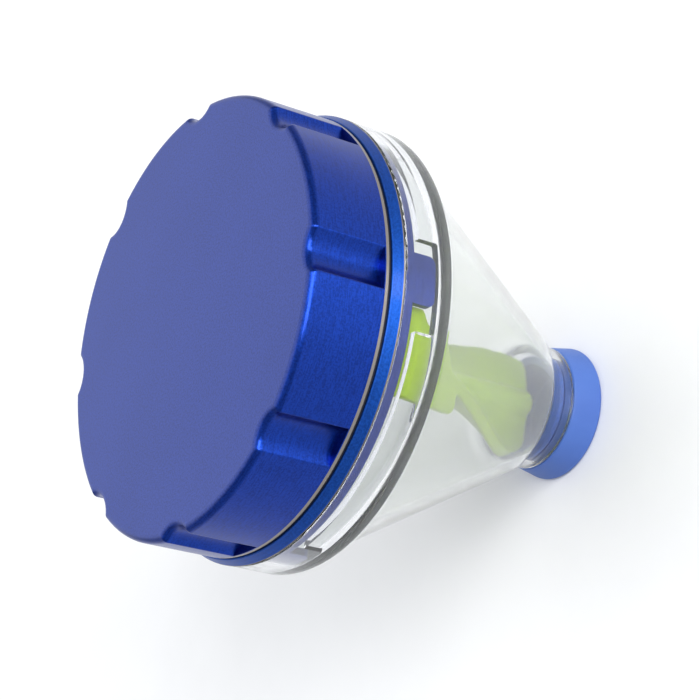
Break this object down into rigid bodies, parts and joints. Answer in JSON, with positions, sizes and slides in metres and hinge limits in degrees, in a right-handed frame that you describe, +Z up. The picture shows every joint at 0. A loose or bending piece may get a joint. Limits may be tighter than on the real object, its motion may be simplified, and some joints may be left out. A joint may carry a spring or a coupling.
{
  "type": "funnel pill crusher",
  "caption": "Rotary pill crusher: blue anodised fluted lid and toothed plate on a clear cone hopper with a green auger and a blue stopper at the outlet neck.",
  "frame": {"origin": "centre of the stopper's flat underside, which the crusher stands on", "axes": "+Z up along the common axis of hopper, plate and lid; -Y through one plate tongue and one lid flute"},
  "size_m": [0.0644, 0.0644, 0.0658],
  "materials": {
    "blue_anodised_lid": "satin blue anodised, turned face and brushed side",
    "blue_anodised_plate": "satin blue anodised",
    "magnet": "nickel plated",
    "black_nylon": "matte black nylon",
    "white_nylon": "natural nylon",
    "steel": "bright stainless steel",
    "spring_steel": "dark spring steel",
    "green_plastic": "translucent lime green moulding",
    "clear_plastic": "clear moulded plastic",
    "blue_plastic": "soft matte blue moulding",
    "blue_silicone": "dark blue silicone"
  },
  "bodies": {
    "funnel": {"funnel": "clear_plastic"},
    "head": {"grinding_plate": "blue_anodised_plate", "plate_magnet": "magnet", "shaft_bush": "white_nylon", "glide_ring": "black_nylon"},
    "drive": {"drive_shaft": "steel", "thrust_washer": "steel", "retaining_clip": "spring_steel", "auger": "green_plastic"},
    "lid": {"lid_shell": "blue_anodised_lid", "lid_magnet": "magnet"},
    "stopper": {"stopper": "blue_plastic", "stopper_seal": "blue_silicone"}
  },
  "joints": [
    {"name": "head_lift", "type": "slide", "parent": "funnel", "child": "head", "axis": [0, 0, 1], "range_m": [0, 0.045]},
    {"name": "grind_turn", "type": "hinge", "parent": "head", "child": "drive", "pos_m": [0, 0, 0.05], "axis": [0, 0, 1], "continuous": true},
    {"name": "lid_lift", "type": "slide", "parent": "drive", "child": "lid", "axis": [0, 0, 1], "range_m": [0, 0.016]},
    {"name": "stopper_pull", "type": "slide", "parent": "funnel", "child": "stopper", "axis": [0, 0, -1], "range_m": [0, 0.012]}
  ]
}
